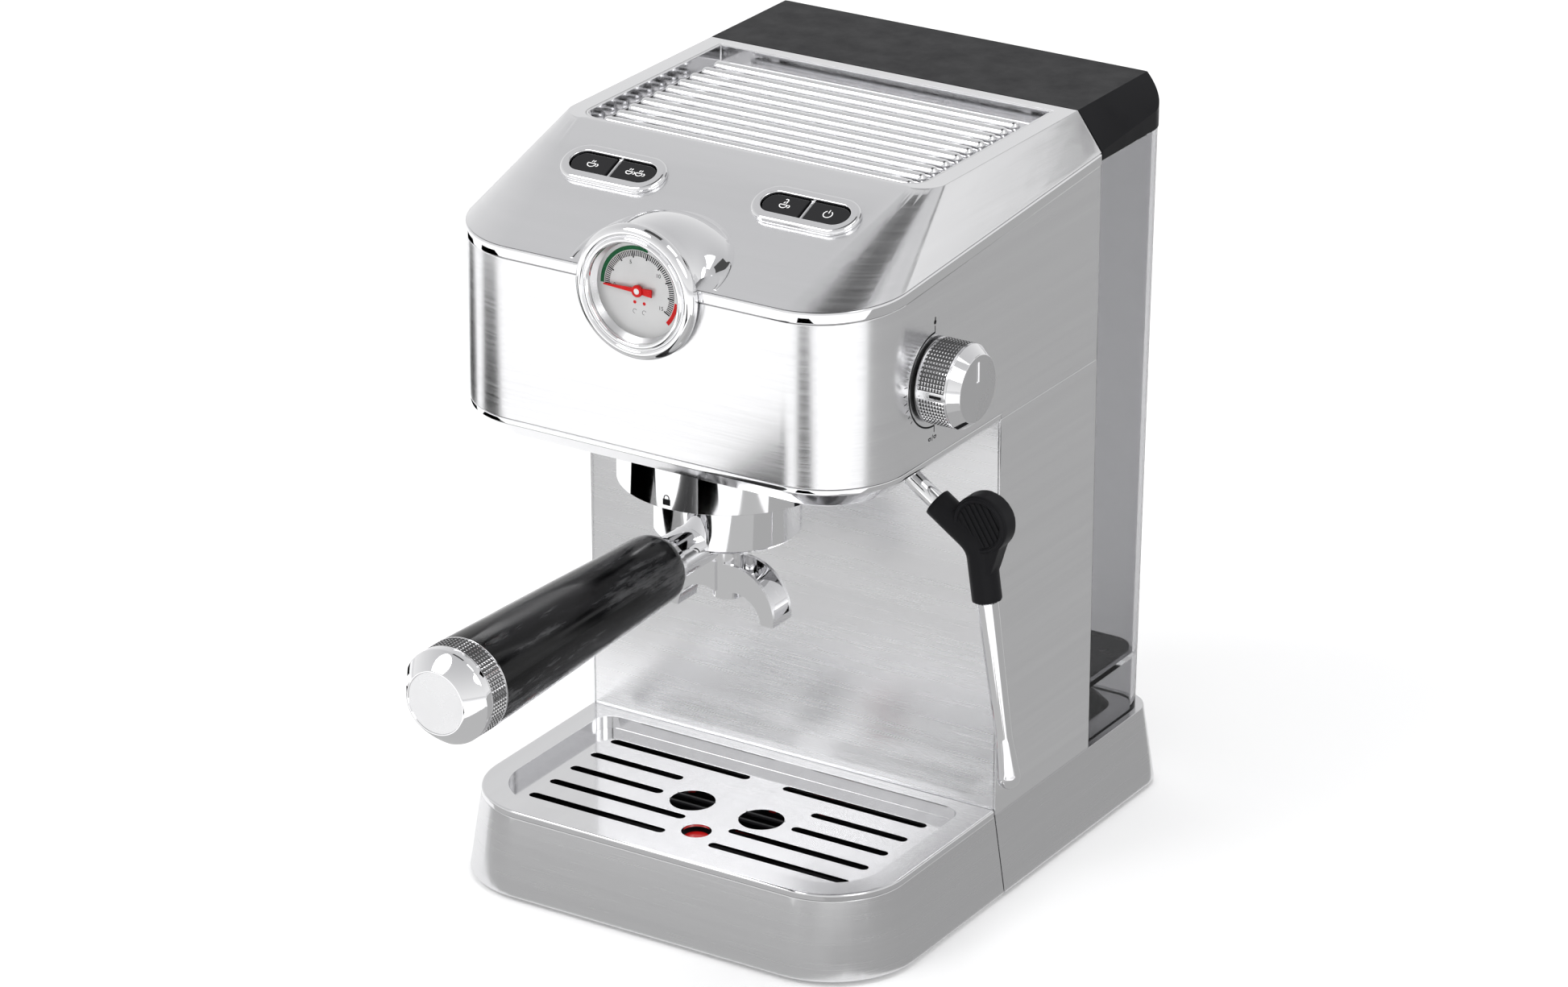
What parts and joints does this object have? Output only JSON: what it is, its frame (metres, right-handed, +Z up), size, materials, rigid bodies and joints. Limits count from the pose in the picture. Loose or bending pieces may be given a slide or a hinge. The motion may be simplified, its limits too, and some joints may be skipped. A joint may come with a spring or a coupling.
{
  "type": "espresso machine",
  "caption": "Upright espresso machine with a bayonet portafilter, steam wand, side knob, pressure gauge, slatted drip tray and a lift-off rear water tank.",
  "frame": {"origin": "on the standing surface, in the plane of symmetry, midway between the front and the back of the base", "axes": "+Z up, -Y towards the front where the portafilter handle points, +X to the right of someone facing the machine"},
  "size_m": [0.2374, 0.3963, 0.319],
  "materials": {
    "brushed_steel": "brushed",
    "satin_steel": "satin",
    "polished_steel": "polished",
    "chrome": "mirror polished",
    "satin_chrome": "satin",
    "knurled_steel": "knurled",
    "screw_steel": "plain",
    "black_plastic": "fine satin",
    "gloss_black": "gloss",
    "marbled_resin": "polished, marbled",
    "red_plastic": "gloss",
    "red_paint": "gloss",
    "dial_face": "satin silver",
    "clear_glass": "polished",
    "smoked_plastic": "smoked, clear",
    "rubber": "matte",
    "brass": "turned",
    "cast_aluminium": "as cast",
    "board_plastic": "lacquered",
    "pump_plastic": "moulded",
    "silicone": "translucent"
  },
  "bodies": {
    "machine": {"chassis_base": "black_plastic", "foot_ring": "rubber", "rear_base_shell": "brushed_steel", "screws": "screw_steel", "cord_gland": "rubber", "column_front_panel": "satin_steel", "column_side_left": "brushed_steel", "column_side_right": "brushed_steel", "rear_bulkhead": "black_plastic", "head_shell": "brushed_steel", "head_bottom_trim": "chrome", "head_pan": "polished_steel", "belt_trim": "chrome", "hood": "brushed_steel", "cup_tray": "polished_steel", "cup_rails": "chrome", "gauge_housing": "chrome", "gauge_bezel": "chrome", "gauge_glass": "clear_glass", "gauge_dial": "dial_face", "gauge_movement": "brass", "button_bezels": "chrome", "circuit_boards": "board_plastic", "steam_valve_body": "brass", "wand_socket": "chrome", "group_collar": "chrome", "group_gasket": "rubber", "shower_screen": "screw_steel", "boiler": "cast_aluminium", "tank_seat": "black_plastic", "pump": "pump_plastic", "pump_mounts": "rubber", "hoses": "silicone"},
    "drip_tray": {"drip_tray_shell": "brushed_steel", "drip_basin": "black_plastic"},
    "grate": {"drip_grate": "polished_steel"},
    "float": {"tray_float": "red_plastic"},
    "needle": {"gauge_needle": "red_paint"},
    "button_one_cup": {"button_one_cup": "gloss_black"},
    "button_two_cup": {"button_two_cup": "gloss_black"},
    "button_steam": {"button_steam": "gloss_black"},
    "button_power": {"button_power": "gloss_black"},
    "steam_knob": {"knob_body": "knurled_steel", "knob_cap": "satin_chrome", "steam_valve_spindle": "brass"},
    "steam_wand": {"wand_tube": "chrome", "wand_grip": "black_plastic"},
    "froth_sleeve": {"froth_sleeve": "chrome"},
    "portafilter": {"portafilter_bowl": "chrome", "filter_basket": "polished_steel", "basket_spring": "screw_steel", "spout": "chrome", "handle_grip": "marbled_resin", "handle_ring": "knurled_steel", "handle_cap": "satin_chrome", "handle_bolt": "screw_steel"},
    "tank": {"water_tank": "smoked_plastic", "tank_hinge_pin": "screw_steel", "tank_valve": "black_plastic"},
    "lid": {"tank_lid": "black_plastic"}
  },
  "joints": [
    {"name": "drip_tray_slide", "type": "slide", "parent": "machine", "child": "drip_tray", "axis": [0, -1, 0], "range_m": [0, 0.13]},
    {"name": "grate_lift", "type": "slide", "parent": "drip_tray", "child": "grate", "axis": [0, 0, 1], "range_m": [0, 0.06]},
    {"name": "float_rise", "type": "slide", "parent": "drip_tray", "child": "float", "axis": [0, 0, 1], "range_m": [0, 0.008]},
    {"name": "gauge_needle_turn", "type": "hinge", "parent": "machine", "child": "needle", "pos_m": [0, -0.1277, 0.284], "axis": [0, 1, 0], "range_deg": [0, 210], "stiffness_Nm_per_rad": 0.0002, "springref_deg": -17.19},
    {"name": "button_one_cup_press", "type": "slide", "parent": "machine", "child": "button_one_cup", "axis": [0, 0.3757, -0.9267], "range_m": [0, 0.0015], "stiffness_N_per_m": 400, "springref_m": -0.001},
    {"name": "button_two_cup_press", "type": "slide", "parent": "machine", "child": "button_two_cup", "axis": [0, 0.3757, -0.9267], "range_m": [0, 0.0015], "stiffness_N_per_m": 400, "springref_m": -0.001},
    {"name": "button_steam_press", "type": "slide", "parent": "machine", "child": "button_steam", "axis": [0, 0.3757, -0.9267], "range_m": [0, 0.0015], "stiffness_N_per_m": 400, "springref_m": -0.001},
    {"name": "button_power_press", "type": "slide", "parent": "machine", "child": "button_power", "axis": [0, 0.3757, -0.9267], "range_m": [0, 0.0015], "stiffness_N_per_m": 400, "springref_m": -0.001},
    {"name": "steam_knob_turn", "type": "hinge", "parent": "machine", "child": "steam_knob", "pos_m": [0.1012, -0.068, 0.2483], "axis": [1, 0, 0], "range_deg": [0, 180]},
    {"name": "wand_swivel", "type": "hinge", "parent": "machine", "child": "steam_wand", "pos_m": [0.0785, -0.052, 0.2], "axis": [0, 0, 1], "range_deg": [-90, 25]},
    {"name": "froth_sleeve_pull", "type": "slide", "parent": "steam_wand", "child": "froth_sleeve", "axis": [0.1458, 0, -0.9893], "range_m": [0, 0.04]},
    {"name": "portafilter_turn", "type": "hinge", "parent": "machine", "child": "portafilter", "pos_m": [0, -0.063, 0.19], "axis": [0, 0, 1], "range_deg": [-45, 0]},
    {"name": "tank_lift", "type": "slide", "parent": "machine", "child": "tank", "axis": [0, 0, 1], "range_m": [0, 0.285]},
    {"name": "lid_hinge", "type": "hinge", "parent": "tank", "child": "lid", "pos_m": [0, 0.1248, 0.2982], "axis": [-1, 0, 0], "range_deg": [0, 100]}
  ]
}
